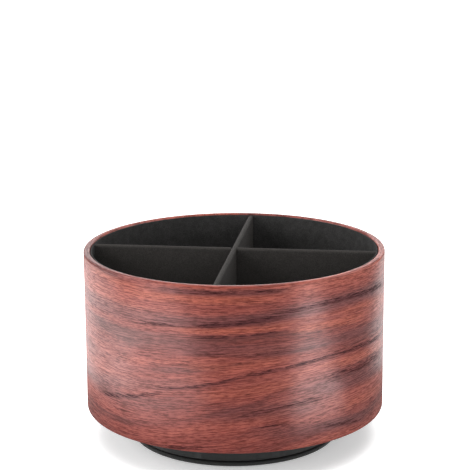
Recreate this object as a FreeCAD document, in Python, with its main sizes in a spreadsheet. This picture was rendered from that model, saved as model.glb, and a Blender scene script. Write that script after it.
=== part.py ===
import FreeCAD, Part
import math
import os
import re
import Sketcher
from FreeCAD import Placement, Rotation, Vector

# A round, open-topped desk organizer that turns on a ball-bearing turntable.
# Origin: the middle of the table surface under the feet. +Z is up, +X runs along the long divider and
# +Y points to the back, where the wrap's seam is. Millimetres and degrees throughout.

# Driving sizes: name, value, what it is.
SIZES = [
    ("outer_diameter", 158.0, "across the wrapped tub"),
    ("tub_height", 85.4, "from the turned-under hem to the top of the rim"),
    ("wall_board_thickness", 2.0, "board tube of the wall"),
    ("wrap_thickness", 0.8, "leatherette sheet"),
    ("board_edge_chamfer", 0.3, "edges of the tube that the wrap is folded round"),
    ("turn_in_length", 12.0, "wrap glued down inside the wall, below the rim's rounded edge"),
    ("lining_thickness", 0.7, "velvet on card inside the wall"),
    ("lining_glue", 0.1, "film of glue between the turned-in wrap and the lining"),
    ("lining_drop", 0.6, "from the rim down to the lining's top edge"),
    ("hem_width", 15.0, "wrap turned in under the tub, in a rebate of the floor board"),
    ("butt_gap", 0.3, "between the two ends of the wrap, and of the lining"),
    ("wrap_seam_azimuth", 95.0, "where the wrap's ends meet, from +X"),
    ("lining_seam_azimuth", 90.0, "where the lining's ends meet, behind the cross divider"),
    ("floor_board_thickness", 4.0, "disc that closes the tube, at its rebate"),
    ("floor_lining_thickness", 1.0, "padded velvet on the floor"),
    ("underside_cover_thickness", 0.6, "sheet over the hem"),
    ("underside_cover_inset", 5.0, "from the tub's side in to the sheet's edge"),
    ("divider_board_thickness", 1.8, "core of a divider"),
    ("divider_skin_thickness", 0.5, "velvet paper on a divider"),
    ("divider_drop", 0.8, "from the rim down to the dividers' top edge"),
    ("halving_clearance", 0.05, "each side of a divider in the other one's slot"),
    ("turntable_diameter", 109.6, "across the turntable"),
    ("foot_stand", 0.8, "how far the feet stand out of the base"),
    ("base_plate_thickness", 2.0, "lower plate"),
    ("seam_gap", 0.8, "open line between the lower plate and the skirt"),
    ("skirt_thickness", 2.2, "side of the upper shell"),
    ("top_plate_thickness", 2.5, "top of the upper shell"),
    ("moulding_chamfer", 0.4, "outer edges of both mouldings"),
    ("ball_diameter", 4.0, "bearing ball"),
    ("ball_count", 8, "balls in the cage"),
    ("race_inset", 16.8, "from the turntable's side in to the ball circle"),
    ("race_gap", 1.8, "between the two races"),
    ("race_land", 1.1, "flat beside the groove"),
    ("race_clearance", 0.1, "between a ball and the flanks of the V-shaped groove"),
    ("base_race_height", 4.3, "lower race above its plate"),
    ("top_race_height", 5.0, "upper race below its plate"),
    ("cage_clearance", 0.3, "above and below the cage"),
    ("cage_web", 1.35, "cage beside a ball's pocket"),
    ("pocket_clearance", 0.15, "around a ball in its pocket"),
    ("ribs_per_screw", 2, "stiffening ribs in each moulding, for each mounting screw"),
    ("rib_thickness", 1.2, "rib"),
    ("groove_floor", 0.5, "plastic left between a groove and a rib behind it"),
    ("rib_bite", 0.5, "rib's end inside the wall it joins"),
    ("lip_thickness", 1.1, "dust lip on the lower plate"),
    ("lip_clearance", 0.6, "between the lip and the skirt"),
    ("lip_overlap", 2.4, "lip above the skirt's lower edge"),
    ("pivot_diameter", 6.0, "shoulder of the pivot screw"),
    ("pivot_clearance", 0.05, "around the shoulder"),
    ("pivot_thread_diameter", 5.0, "thread of the pivot screw"),
    ("pivot_head_diameter", 11.0, "head of the pivot screw"),
    ("pivot_head_height", 2.0, "head of the pivot screw"),
    ("pivot_chamfer", 0.4, "outer edge of the pivot screw's head"),
    ("pivot_socket_width", 3.0, "hexagon socket, across its flats"),
    ("pivot_socket_depth", 1.2, "hexagon socket"),
    ("pivot_socket_side_count", 6, "hexagon socket"),
    ("pivot_end_play", 0.2, "between the washer and the lower plate's boss"),
    ("pivot_cover", 1.0, "plastic left above the thread's hole"),
    ("washer_diameter", 12.4, "washer on the pivot screw"),
    ("washer_thickness", 0.6, "washer on the pivot screw"),
    ("washer_clearance", 0.8, "around the washer in its recess"),
    ("bore_length", 3.8, "bearing length of the lower plate's boss"),
    ("boss_wall", 1.2, "boss outside the cap's seat"),
    ("hub_wall", 5.5, "upper shell's hub around the thread"),
    ("hub_gap", 0.3, "between the hub and the boss"),
    ("cap_thickness", 1.2, "cap under the pivot"),
    ("cap_lap", 2.0, "cap's flange beyond the recess"),
    ("cap_fit", 0.1, "around the cap's flange and spigot"),
    ("cap_spigot_height", 0.8, "spigot of the cap"),
    ("cap_spigot_wall", 0.8, "spigot of the cap"),
    ("cap_gap", 0.4, "between the cap and the screw head"),
    ("screw_count", 4, "screws into the floor board"),
    ("screw_core_diameter", 2.8, "core of a mounting screw"),
    ("screw_point_length", 1.6, "tapered point of a mounting screw"),
    ("screw_tip_diameter", 0.7, "blunt end of the point"),
    ("screw_head_diameter", 7.0, "pan head"),
    ("screw_head_height", 2.2, "pan head"),
    ("screw_head_bevel", 1.2, "sloping edge of the pan head"),
    ("screw_hole_diameter", 3.8, "hole that a screw passes through"),
    ("screw_boss_wall", 2.3, "boss around a screw's hole"),
    ("screw_boss_height", 1.5, "boss below the upper plate"),
    ("screw_tip_cover", 1.0, "board left above a pilot hole"),
    ("blind_end_gap", 0.3, "beyond a screw's end in its hole"),
    ("thread_fit", 0.05, "between a screw's core and its hole"),
    ("foot_count", 4, "feet"),
    ("foot_azimuth", 45.0, "first foot, from +X"),
    ("foot_diameter", 12.0, "foot"),
    ("foot_recess_depth", 0.5, "seat of a foot in the base"),
    ("foot_fit", 0.1, "around a foot in its seat"),
    ("foot_inset", 8.8, "from the turntable's side in to the feet's circle"),
    ("foot_chamfer", 0.3, "lower edge of a foot"),
]

# Radii, heights and counts that follow from the driving sizes: name, formula.
PLACES = [
    ("outer_radius", "outer_diameter / 2"),
    ("board_outer_radius", "outer_radius - wrap_thickness"),
    ("board_inner_radius", "board_outer_radius - wall_board_thickness"),
    ("rim_inner_radius", "board_inner_radius - wrap_thickness"),
    ("lining_outer_radius", "rim_inner_radius - lining_glue"),
    ("lining_inner_radius", "lining_outer_radius - lining_thickness"),
    ("hem_inner_radius", "outer_radius - hem_width"),
    ("fold_radius", "board_edge_chamfer + wrap_thickness"),
    ("board_edge_radius", "board_outer_radius - board_edge_chamfer"),
    ("wrap_turn", "360 - butt_gap / outer_radius * 180 / pi"),
    ("lining_turn", "360 - butt_gap / lining_outer_radius * 180 / pi"),
    # heights of the turntable, from the table up
    ("base_bottom", "foot_stand"),
    ("base_plate_top", "base_bottom + base_plate_thickness"),
    ("skirt_bottom", "base_plate_top + seam_gap"),
    ("lip_top", "skirt_bottom + lip_overlap"),
    ("base_race_top", "base_plate_top + base_race_height"),
    ("ball_height", "base_race_top + race_gap / 2"),
    ("top_race_bottom", "base_race_top + race_gap"),
    ("top_plate_bottom", "top_race_bottom + top_race_height"),
    ("top_plate_top", "top_plate_bottom + top_plate_thickness"),
    # heights of the tub
    ("hem_bottom", "top_plate_top + underside_cover_thickness"),
    ("floor_bottom", "hem_bottom + wrap_thickness"),
    ("floor_top", "floor_bottom + floor_board_thickness"),
    ("floor_lining_top", "floor_top + floor_lining_thickness"),
    ("rim_top", "hem_bottom + tub_height"),
    ("rim_spring", "rim_top - fold_radius"),
    ("board_top", "rim_top - wrap_thickness"),
    ("board_top_spring", "board_top - board_edge_chamfer"),
    ("turn_in_bottom", "rim_spring - turn_in_length"),
    ("lining_top", "rim_top - lining_drop"),
    # dividers
    ("divider_top", "rim_top - divider_drop"),
    ("divider_board_top", "divider_top - divider_skin_thickness"),
    ("divider_middle", "(floor_lining_top + divider_top) / 2"),
    ("board_half", "divider_board_thickness / 2"),
    ("divider_half", "board_half + divider_skin_thickness"),
    ("divider_spring", "divider_top - divider_half"),
    ("divider_reach", "sqrt(lining_inner_radius ^ 2 - divider_half ^ 2)"),
    ("slot_half", "divider_half + halving_clearance"),
    # bearing
    ("turntable_radius", "turntable_diameter / 2"),
    ("skirt_inner_radius", "turntable_radius - skirt_thickness"),
    ("lip_outer_radius", "skirt_inner_radius - lip_clearance"),
    ("lip_inner_radius", "lip_outer_radius - lip_thickness"),
    ("race_radius", "turntable_radius - race_inset"),
    ("ball_radius", "ball_diameter / 2"),
    ("groove_depth", "(ball_radius + race_clearance) * sqrt(2) - race_gap / 2"),
    ("race_inner_radius", "race_radius - groove_depth - race_land"),
    ("race_outer_radius", "race_radius + groove_depth + race_land"),
    ("cage_bottom", "base_race_top + cage_clearance"),
    ("cage_top", "top_race_bottom - cage_clearance"),
    ("pocket_radius", "ball_radius + pocket_clearance"),
    ("cage_inner_radius", "race_radius - pocket_radius - cage_web"),
    ("cage_outer_radius", "race_radius + pocket_radius + cage_web"),
    ("rib_count", "ribs_per_screw * screw_count"),
    ("base_rib_top", "base_race_top - groove_depth - groove_floor"),
    ("top_rib_bottom", "top_race_bottom + groove_depth + groove_floor"),
    ("moulding_edge_radius", "turntable_radius - moulding_chamfer"),
    # pivot
    ("cap_top", "base_bottom + cap_thickness"),
    ("pivot_head_bottom", "cap_top + cap_gap"),
    ("pivot_head_top", "pivot_head_bottom + pivot_head_height"),
    ("washer_top", "pivot_head_top + washer_thickness"),
    ("bore_bottom", "washer_top + pivot_end_play"),
    ("bore_top", "bore_bottom + bore_length"),
    ("hub_bottom", "bore_top + hub_gap"),
    ("pivot_radius", "pivot_diameter / 2"),
    ("bore_radius", "pivot_radius + pivot_clearance"),
    ("pivot_thread_radius", "pivot_thread_diameter / 2"),
    ("pivot_head_radius", "pivot_head_diameter / 2"),
    ("pivot_socket_radius", "pivot_socket_width / 2 / cos(180 / pivot_socket_side_count)"),
    ("thread_hole_radius", "pivot_thread_radius + thread_fit"),
    ("thread_hole_top", "top_plate_top - pivot_cover"),
    ("pivot_end", "thread_hole_top - blind_end_gap"),
    ("hub_radius", "thread_hole_radius + hub_wall"),
    ("washer_radius", "washer_diameter / 2"),
    ("recess_radius", "washer_radius + washer_clearance"),
    ("cap_radius", "recess_radius + cap_lap"),
    ("cap_seat_radius", "cap_radius + cap_fit"),
    ("spigot_outer_radius", "recess_radius - cap_fit"),
    ("spigot_inner_radius", "spigot_outer_radius - cap_spigot_wall"),
    ("spigot_top", "cap_top + cap_spigot_height"),
    ("boss_radius", "cap_seat_radius + boss_wall"),
    # mounting screws
    ("screw_circle_radius", "(race_outer_radius + skirt_inner_radius) / 2"),
    ("screw_azimuth", "180 / rib_count"),
    ("screw_across", "screw_circle_radius * cos(screw_azimuth)"),
    ("screw_along", "screw_circle_radius * sin(screw_azimuth)"),
    ("screw_seat", "top_plate_bottom - screw_boss_height"),
    ("screw_hole_radius", "screw_hole_diameter / 2"),
    ("screw_boss_radius", "screw_hole_radius + screw_boss_wall"),
    ("screw_core_radius", "screw_core_diameter / 2"),
    ("screw_head_radius", "screw_head_diameter / 2"),
    ("screw_head_bottom", "screw_seat - screw_head_height"),
    ("screw_head_edge", "screw_head_bottom + screw_head_bevel"),
    ("pilot_radius", "screw_core_radius + thread_fit"),
    ("pilot_top", "floor_top - screw_tip_cover"),
    ("screw_tip", "pilot_top - blind_end_gap"),
    ("screw_point_bottom", "screw_tip - screw_point_length"),
    # feet
    ("foot_circle_radius", "turntable_radius - foot_inset"),
    ("foot_radius", "foot_diameter / 2"),
    ("foot_top", "base_bottom + foot_recess_depth"),
]

Z_AXIS = Vector(0, 0, 1)
AXIS = "0"          # the radius of a corner that lies on the axis
TABLE = "0"         # the height of the surface that the feet stand on
LEFT = "left"       # an arc that turns left on its way to the next corner
RIGHT = "right"     # an arc that turns right

document = FreeCAD.newDocument("desk_organizer")
sheet_of = {}   # the sheet that holds each named value


def full(formula):
    """A formula with the name of its sheet before each named value in it."""
    return re.sub("[a-z_]+", lambda word: sheet_of.get(word[0], "") + word[0], formula)


def fill_sheet(name, rows):
    """A spreadsheet with a row for each value: its name, its content and what it is."""
    sheet = document.addObject("Spreadsheet::Sheet", name)
    for number, (alias, content, meaning) in enumerate(rows, start=1):
        sheet.set(f"A{number}", alias)
        sheet.set(f"B{number}", content)
        sheet.setAlias(f"B{number}", alias)
        sheet.set(f"C{number}", meaning)
    document.recompute()
    for alias, content, meaning in rows:
        sheet_of[alias] = name + "."


def new_body(label):
    body = document.addObject("PartDesign::Body", label)
    body.Label = label
    return body


def origin_feature(body, role):
    return next(item for item in body.Origin.OriginFeatures if item.Role == role)


def bind(thing, **formulas):
    """Bind properties of a feature to formulas."""
    for name, formula in formulas.items():
        thing.setExpression(name, full(formula))


def put_at(thing, across="0", along="0", up="0"):
    """Bind the place of a feature or body."""
    thing.setExpression("Placement.Base.x", full(across))
    thing.setExpression("Placement.Base.y", full(along))
    thing.setExpression("Placement.Base.z", full(up))


def turn_about_z(thing, angle):
    """Bind a body's turn about the vertical axis."""
    thing.Placement = Placement(Vector(), Rotation(Z_AXIS, 1))
    thing.setExpression("Placement.Rotation.Angle", full(angle))


def arc_between(start, end, radius, side):
    """The short arc from start to end that turns LEFT or RIGHT."""
    chord = end - start
    rise = math.sqrt(max(radius ** 2 - (chord.Length / 2) ** 2, 0))
    across = Vector(-chord.y, chord.x, 0).normalize()
    centre = (start + end) / 2 + across * (rise if side == LEFT else -rise)
    first, last = (start, end) if side == LEFT else (end, start)
    angles = [math.atan2(point.y - centre.y, point.x - centre.x) for point in (first, last)]
    if angles[1] < angles[0]:
        angles[1] += 2 * math.pi
    return Part.ArcOfCircle(Part.Circle(centre, Z_AXIS, radius), *angles)


def ends_of(side):
    """Sketcher's numbers for the first and the last end of a line or arc; it draws arcs turning left."""
    return (2, 1) if side == RIGHT else (1, 2)


def hold_point(sketch, geometry, end, x_formula, y_formula):
    """Fix one end of a line or arc by its two distances from the sketch's origin.

    Sketcher numbers the sketch's own axes -1 and -2, and its origin is the first end of axis -1.
    """
    for kind, formula, axis in (("DistanceX", x_formula, -2), ("DistanceY", y_formula, -1)):
        if formula == "0":
            sketch.addConstraint(Sketcher.Constraint("PointOnObject", geometry, end, axis))
            continue
        value = sketch.evalExpression(full(formula))
        held = sketch.addConstraint(Sketcher.Constraint(kind, -1, 1, geometry, end, value))
        sketch.setExpression(f"Constraints[{held}]", full(formula))


def outline_sketch(body, name, role, corners):
    """A closed, fully held outline on one of the body's own planes.

    Each corner is (x, y), or (x, y, radius, side) where an arc leads on to the next corner.
    """
    sketch = body.newObject("Sketcher::SketchObject", name)
    sketch.AttachmentSupport = (origin_feature(body, role), [""])
    sketch.MapMode = "FlatFace"
    values = [[sketch.evalExpression(full(formula)) for formula in corner[:2]] for corner in corners]
    points = [Vector(*pair, 0) for pair in values]
    ends = []
    for number, corner in enumerate(corners):
        start, end = points[number], points[(number + 1) % len(points)]
        if len(corner) == 2:
            sketch.addGeometry(Part.LineSegment(start, end))
            ends.append(ends_of(LEFT))
        else:
            radius, side = corner[2:]
            arc = arc_between(start, end, sketch.evalExpression(full(radius)), side)
            sketch.addGeometry(arc)
            held = sketch.addConstraint(Sketcher.Constraint("Radius", number, arc.Radius))
            sketch.setExpression(f"Constraints[{held}]", full(radius))
            ends.append(ends_of(side))
    for number, corner in enumerate(corners):
        before = (number - 1) % len(corners)
        join = Sketcher.Constraint("Coincident", before, ends[before][1], number, ends[number][0])
        sketch.addConstraint(join)
        hold_point(sketch, number, ends[number][0], corner[0], corner[1])
    return sketch


def revolve(body, name, corners, angle="360"):
    """Turn an outline of (radius, height) corners about the body's vertical axis."""
    sketch = outline_sketch(body, name + "_section", "XZ_Plane", corners)
    feature = body.newObject("PartDesign::Revolution", name)
    feature.Profile = sketch
    feature.ReferenceAxis = (sketch, ["V_Axis"])
    bind(feature, Angle=angle)
    sketch.Visibility = False
    return feature


def primitive(body, kind, name, place, **sizes):
    """A PartDesign primitive, such as a SubtractiveCylinder, with its place and sizes bound."""
    document.recompute()
    feature = body.newObject("PartDesign::" + kind, name)
    bind(feature, **sizes)
    put_at(feature, *place)
    return feature


def repeat_round(body, name, features, count):
    """Copies of features, evenly spaced about the vertical axis."""
    pattern = body.newObject("PartDesign::PolarPattern", name)
    pattern.Originals = features
    pattern.Axis = (origin_feature(body, "Z_Axis"), [""])
    pattern.Angle = 360
    bind(pattern, Occurrences=count)
    body.Tip = pattern
    return pattern


def make_disc(label, radius, bottom, top):
    body = new_body(label)
    revolve(body, label + "_disc", [(AXIS, bottom), (radius, bottom), (radius, top), (AXIS, top)])
    return body


def drill_screw_holes(body, radius, bottom, top):
    """Round holes on the mounting screws' circle."""
    hole = primitive(body, "SubtractiveCylinder", body.Label + "_hole",
                     ("screw_across", "screw_along", bottom),
                     Radius=radius, Height=f"{top} - {bottom}")
    repeat_round(body, body.Label + "_holes", [hole], "screw_count")


# ---- tub ----

def board_top_corners():
    """The chamfered top of the wall board, from its outer side over to its inner side."""
    return [
        ("board_outer_radius", "board_top_spring"),
        ("board_outer_radius - board_edge_chamfer", "board_top"),
        ("board_inner_radius + board_edge_chamfer", "board_top"),
        ("board_inner_radius", "board_top_spring"),
    ]


def board_edge_corners():
    """The chamfered lower outer edge of the wall board, on the way up."""
    return [
        ("board_edge_radius", "floor_bottom"),
        ("board_outer_radius", "floor_bottom + board_edge_chamfer"),
    ]


def make_outer_wrap():
    """One sheet: hem under the tub, up the side, over the rim and down inside, behind the lining."""
    body = new_body("outer_wrap")
    outside = [
        ("hem_inner_radius", "hem_bottom"),
        ("outer_radius - fold_radius", "hem_bottom", "fold_radius", LEFT),
        ("outer_radius", "hem_bottom + fold_radius"),
        ("outer_radius", "rim_spring", "fold_radius", LEFT),
        ("outer_radius - fold_radius", "rim_top"),
        ("rim_inner_radius + fold_radius", "rim_top", "fold_radius", LEFT),
        ("rim_inner_radius", "rim_spring"),
        ("rim_inner_radius", "turn_in_bottom"),
    ]
    inside = [
        ("board_inner_radius", "turn_in_bottom"),
        *reversed(board_top_corners()),
        *reversed(board_edge_corners()),
        ("hem_inner_radius", "floor_bottom"),
    ]
    revolve(body, "wrap_sheet", outside + inside, "wrap_turn")
    turn_about_z(body, "wrap_seam_azimuth")
    return body


def make_wall_board():
    body = new_body("wall_board")
    foot = ("board_inner_radius", "floor_bottom")
    revolve(body, "tube", [foot, *board_edge_corners(), *board_top_corners()])
    return body


def make_wall_lining():
    body = new_body("wall_lining")
    corners = [
        ("lining_inner_radius", "floor_top"),
        ("lining_outer_radius", "floor_top"),
        ("lining_outer_radius", "lining_top"),
        ("lining_inner_radius", "lining_top"),
    ]
    revolve(body, "lining_strip", corners, "lining_turn")
    turn_about_z(body, "lining_seam_azimuth")
    return body


def make_floor_board():
    """A disc rebated round its underside for the hem, with a blind pilot hole for each screw."""
    body = new_body("floor_board")
    corners = [
        (AXIS, "hem_bottom"),
        ("hem_inner_radius", "hem_bottom"),
        ("hem_inner_radius", "floor_bottom"),
        ("board_inner_radius", "floor_bottom"),
        ("board_inner_radius", "floor_top"),
        (AXIS, "floor_top"),
    ]
    revolve(body, "floor_disc", corners)
    drill_screw_holes(body, "pilot_radius", "hem_bottom", "pilot_top")
    return body


def make_floor_lining():
    return make_disc("floor_lining", "lining_inner_radius", "floor_top", "floor_lining_top")


def make_underside_cover():
    radius = "outer_radius - underside_cover_inset"
    body = make_disc("underside_cover", radius, "top_plate_top", "hem_bottom")
    drill_screw_holes(body, "screw_hole_radius", "top_plate_top", "hem_bottom")
    return body


# ---- dividers ----

def extrude_divider(body, corners):
    """Stretch a cross-section along X, from one side of the lining to the other."""
    section = outline_sketch(body, body.Label + "_section", "YZ_Plane", corners)
    feature = body.newObject("PartDesign::Pad", body.Label + "_pad")
    feature.Profile = section
    feature.SideType = "Symmetric"
    bind(feature, Length="2 * divider_reach")
    section.Visibility = False


def cut_slot(body, bottom, top):
    """The slot that the other divider stands in."""
    primitive(body, "SubtractiveBox", body.Label + "_slot",
              ("-slot_half", "-slot_half", bottom),
              Length="2 * slot_half", Width="2 * slot_half", Height=f"{top} - {bottom}")


def divider_board_corners():
    """A board's cross-section, with a half-round top."""
    return [
        ("-board_half", "floor_lining_top"),
        ("board_half", "floor_lining_top"),
        ("board_half", "divider_spring", "board_half", LEFT),
        (AXIS, "divider_board_top", "board_half", LEFT),
        ("-board_half", "divider_spring"),
    ]


def divider_cover_corners():
    """The cross-section of the sheet that is folded over a board, down both its sides."""
    return [
        ("board_half", "floor_lining_top"),
        ("divider_half", "floor_lining_top"),
        ("divider_half", "divider_spring", "divider_half", LEFT),
        (AXIS, "divider_top", "divider_half", LEFT),
        ("-divider_half", "divider_spring"),
        ("-divider_half", "floor_lining_top"),
        ("-board_half", "floor_lining_top"),
        ("-board_half", "divider_spring", "board_half", RIGHT),
        (AXIS, "divider_board_top", "board_half", RIGHT),
        ("board_half", "divider_spring"),
    ]


def make_divider(name, turn, slot_bottom, slot_top):
    """A board and the folded velvet paper over it, both slotted for the other divider."""
    pieces = []
    for part, corners in (("board", divider_board_corners()), ("cover", divider_cover_corners())):
        body = new_body(f"{name}_{part}")
        extrude_divider(body, corners)
        cut_slot(body, slot_bottom, slot_top)
        turn_about_z(body, turn)
        pieces.append(body)
    return pieces


# ---- turntable ----

def add_ribs(body, start, end, bottom, top):
    """Straight ribs from a hub out to a rim, midway between the screws."""
    rib = primitive(body, "AdditiveBox", body.Label + "_rib",
                    (f"{start} - rib_bite", "-rib_thickness / 2", bottom),
                    Length=f"{end} - {start} + 2 * rib_bite", Width="rib_thickness",
                    Height=f"{top} - {bottom}")
    repeat_round(body, body.Label + "_ribs", [rib], "rib_count")


def groove_corners(race_face, groove_bottom):
    """The V-shaped groove of a race, from its inner edge to its outer one."""
    return [
        ("race_radius - groove_depth", race_face),
        ("race_radius", groove_bottom),
        ("race_radius + groove_depth", race_face),
    ]


def make_turntable_top():
    """Upper moulding: plate, skirt, hub with a blind threaded hole, race, ribs and screw bosses."""
    body = new_body("turntable_top")
    corners = [
        ("thread_hole_radius", "hub_bottom"),
        ("hub_radius", "hub_bottom"),
        ("hub_radius", "top_plate_bottom"),
        ("race_inner_radius", "top_plate_bottom"),
        ("race_inner_radius", "top_race_bottom"),
        *groove_corners("top_race_bottom", "top_race_bottom + groove_depth"),
        ("race_outer_radius", "top_race_bottom"),
        ("race_outer_radius", "top_plate_bottom"),
        ("skirt_inner_radius", "top_plate_bottom"),
        ("skirt_inner_radius", "skirt_bottom"),
        ("moulding_edge_radius", "skirt_bottom"),
        ("turntable_radius", "skirt_bottom + moulding_chamfer"),
        ("turntable_radius", "top_plate_top - moulding_chamfer"),
        ("moulding_edge_radius", "top_plate_top"),
        (AXIS, "top_plate_top"),
        (AXIS, "thread_hole_top"),
        ("thread_hole_radius", "thread_hole_top"),
    ]
    revolve(body, "upper_shell", corners)
    add_ribs(body, "hub_radius", "skirt_inner_radius", "top_rib_bottom", "top_plate_bottom")
    boss = primitive(body, "AdditiveCylinder", "screw_boss",
                     ("screw_across", "screw_along", "screw_seat"),
                     Radius="screw_boss_radius", Height="screw_boss_height")
    repeat_round(body, "screw_bosses", [boss], "screw_count")
    drill_screw_holes(body, "screw_hole_radius", "screw_seat", "top_plate_top")
    return body


def foot_place(number):
    """How far across and along a foot's middle lies."""
    azimuth = f"(foot_azimuth + {number} * 360 / foot_count)"
    return (f"foot_circle_radius * cos({azimuth})", f"foot_circle_radius * sin({azimuth})")


def make_turntable_base():
    """Lower moulding: plate, dust lip, race, ribs, bored boss with the cap's seat, and feet's seats."""
    body = new_body("turntable_base")
    corners = [
        ("cap_seat_radius", "base_bottom"),
        ("moulding_edge_radius", "base_bottom"),
        ("turntable_radius", "base_bottom + moulding_chamfer"),
        ("turntable_radius", "base_plate_top - moulding_chamfer"),
        ("moulding_edge_radius", "base_plate_top"),
        ("lip_outer_radius", "base_plate_top"),
        ("lip_outer_radius", "lip_top"),
        ("lip_inner_radius", "lip_top"),
        ("lip_inner_radius", "base_plate_top"),
        ("race_outer_radius", "base_plate_top"),
        ("race_outer_radius", "base_race_top"),
        *reversed(groove_corners("base_race_top", "base_race_top - groove_depth")),
        ("race_inner_radius", "base_race_top"),
        ("race_inner_radius", "base_plate_top"),
        ("boss_radius", "base_plate_top"),
        ("boss_radius", "bore_top"),
        ("bore_radius", "bore_top"),
        ("bore_radius", "bore_bottom"),
        ("recess_radius", "bore_bottom"),
        ("recess_radius", "cap_top"),
        ("cap_seat_radius", "cap_top"),
    ]
    revolve(body, "lower_plate", corners)
    add_ribs(body, "boss_radius", "lip_inner_radius", "base_plate_top", "base_rib_top")
    seat = primitive(body, "SubtractiveCylinder", "foot_seat",
                     foot_place(0) + ("base_bottom",),
                     Radius="foot_radius + foot_fit", Height="foot_recess_depth")
    repeat_round(body, "foot_seats", [seat], "foot_count")
    return body


def make_ball_cage():
    """A flat ring with a round pocket for each ball."""
    body = new_body("ball_cage")
    corners = [
        ("cage_inner_radius", "cage_bottom"),
        ("cage_outer_radius", "cage_bottom"),
        ("cage_outer_radius", "cage_top"),
        ("cage_inner_radius", "cage_top"),
    ]
    revolve(body, "cage_ring", corners)
    pocket = primitive(body, "SubtractiveCylinder", "pocket",
                       ("race_radius", "0", "cage_bottom"),
                       Radius="pocket_radius", Height="cage_top - cage_bottom")
    repeat_round(body, "pockets", [pocket], "ball_count")
    return body


def make_bearing_balls():
    body = new_body("bearing_balls")
    ball = primitive(body, "AdditiveSphere", "ball", ("race_radius", "0", "ball_height"),
                     Radius="ball_radius")
    repeat_round(body, "ball_ring", [ball], "ball_count")
    return body


def make_pivot_screw():
    """A shoulder screw, head down, with a hexagon socket and a plain core for its thread."""
    body = new_body("pivot_screw")
    corners = [
        (AXIS, "pivot_head_bottom"),
        ("pivot_head_radius - pivot_chamfer", "pivot_head_bottom"),
        ("pivot_head_radius", "pivot_head_bottom + pivot_chamfer"),
        ("pivot_head_radius", "pivot_head_top"),
        ("pivot_radius", "pivot_head_top"),
        ("pivot_radius", "hub_bottom"),
        ("pivot_thread_radius", "hub_bottom"),
        ("pivot_thread_radius", "pivot_end"),
        (AXIS, "pivot_end"),
    ]
    revolve(body, "pivot_turned", corners)
    primitive(body, "SubtractivePrism", "pivot_socket", ("0", "0", "pivot_head_bottom"),
              Polygon="pivot_socket_side_count", Circumradius="pivot_socket_radius",
              Height="pivot_socket_depth")
    return body


def make_pivot_washer():
    body = new_body("pivot_washer")
    corners = [
        ("bore_radius", "pivot_head_top"),
        ("washer_radius", "pivot_head_top"),
        ("washer_radius", "washer_top"),
        ("bore_radius", "washer_top"),
    ]
    revolve(body, "washer_ring", corners)
    return body


def make_hub_cap():
    """Flange flush with the underside, with a spigot up into the recess around the screw's head."""
    body = new_body("hub_cap")
    corners = [
        (AXIS, "base_bottom"),
        ("cap_radius", "base_bottom"),
        ("cap_radius", "cap_top"),
        ("spigot_outer_radius", "cap_top"),
        ("spigot_outer_radius", "spigot_top"),
        ("spigot_inner_radius", "spigot_top"),
        ("spigot_inner_radius", "cap_top"),
        (AXIS, "cap_top"),
    ]
    revolve(body, "cap_disc", corners)
    return body


def make_mounting_screws():
    """Pan-head screws with a plain core and a tapered point, driven up into the floor board."""
    body = new_body("mounting_screws")
    here = ("screw_across", "screw_along")
    crown = primitive(body, "AdditiveCone", "screw_crown", here + ("screw_head_bottom",),
                      Radius1="screw_head_radius - screw_head_bevel",
                      Radius2="screw_head_radius", Height="screw_head_bevel")
    head = primitive(body, "AdditiveCylinder", "screw_head", here + ("screw_head_edge",),
                     Radius="screw_head_radius", Height="screw_seat - screw_head_edge")
    shank = primitive(body, "AdditiveCylinder", "screw_shank", here + ("screw_seat",),
                      Radius="screw_core_radius", Height="screw_point_bottom - screw_seat")
    point = primitive(body, "AdditiveCone", "screw_point", here + ("screw_point_bottom",),
                      Radius1="screw_core_radius", Radius2="screw_tip_diameter / 2",
                      Height="screw_point_length")
    repeat_round(body, "screw_ring", [crown, head, shank, point], "screw_count")
    return body


def make_rubber_feet():
    """Separate round pads, each in its seat."""
    feet = []
    for number in range(int(document.Sizes.foot_count)):
        body = new_body(f"rubber_foot_{number + 1}")
        corners = [
            (AXIS, TABLE),
            ("foot_radius - foot_chamfer", TABLE),
            ("foot_radius", "foot_chamfer"),
            ("foot_radius", "foot_top"),
            (AXIS, "foot_top"),
        ]
        revolve(body, f"pad_{number + 1}", corners)
        put_at(body, *foot_place(number))
        feet.append(body)
    return feet


def make_all():
    parts = [make_outer_wrap(), make_wall_board(), make_wall_lining()]
    parts += [make_floor_board(), make_floor_lining(), make_underside_cover()]
    parts += make_divider("long_divider", "0", "divider_middle", "divider_top")
    parts += make_divider("cross_divider", "90", "floor_lining_top", "divider_middle")
    parts += [make_turntable_top(), make_turntable_base(), make_ball_cage(), make_bearing_balls()]
    parts += [make_pivot_screw(), make_pivot_washer(), make_hub_cap(), make_mounting_screws()]
    parts += make_rubber_feet()
    return parts


def check_and_write(parts):
    """Stop on anything that failed to build, then write one STEP file for each sub-part."""
    for item in document.Objects:
        for trouble in ("Invalid", "Error"):
            if trouble in item.State:
                raise RuntimeError(f"{item.Label} is {item.State}")
    for part in parts:
        if part.Shape.isNull() or not part.Shape.isValid():
            raise RuntimeError(f"{part.Label} has no valid shape")
    os.makedirs("parts", exist_ok=True)
    for part in parts:
        part.Shape.exportStep(f"parts/{part.Label}.step")
        print(f"{part.Label}: {len(part.Shape.Solids)} solid(s), {part.Shape.Volume:.1f} mm3")


fill_sheet("Sizes", [(name, str(value), meaning) for name, value, meaning in SIZES])
fill_sheet("Places", [(name, "=" + full(formula), "") for name, formula in PLACES])
all_parts = make_all()
document.recompute()
check_and_write(all_parts)
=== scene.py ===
import math

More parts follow.
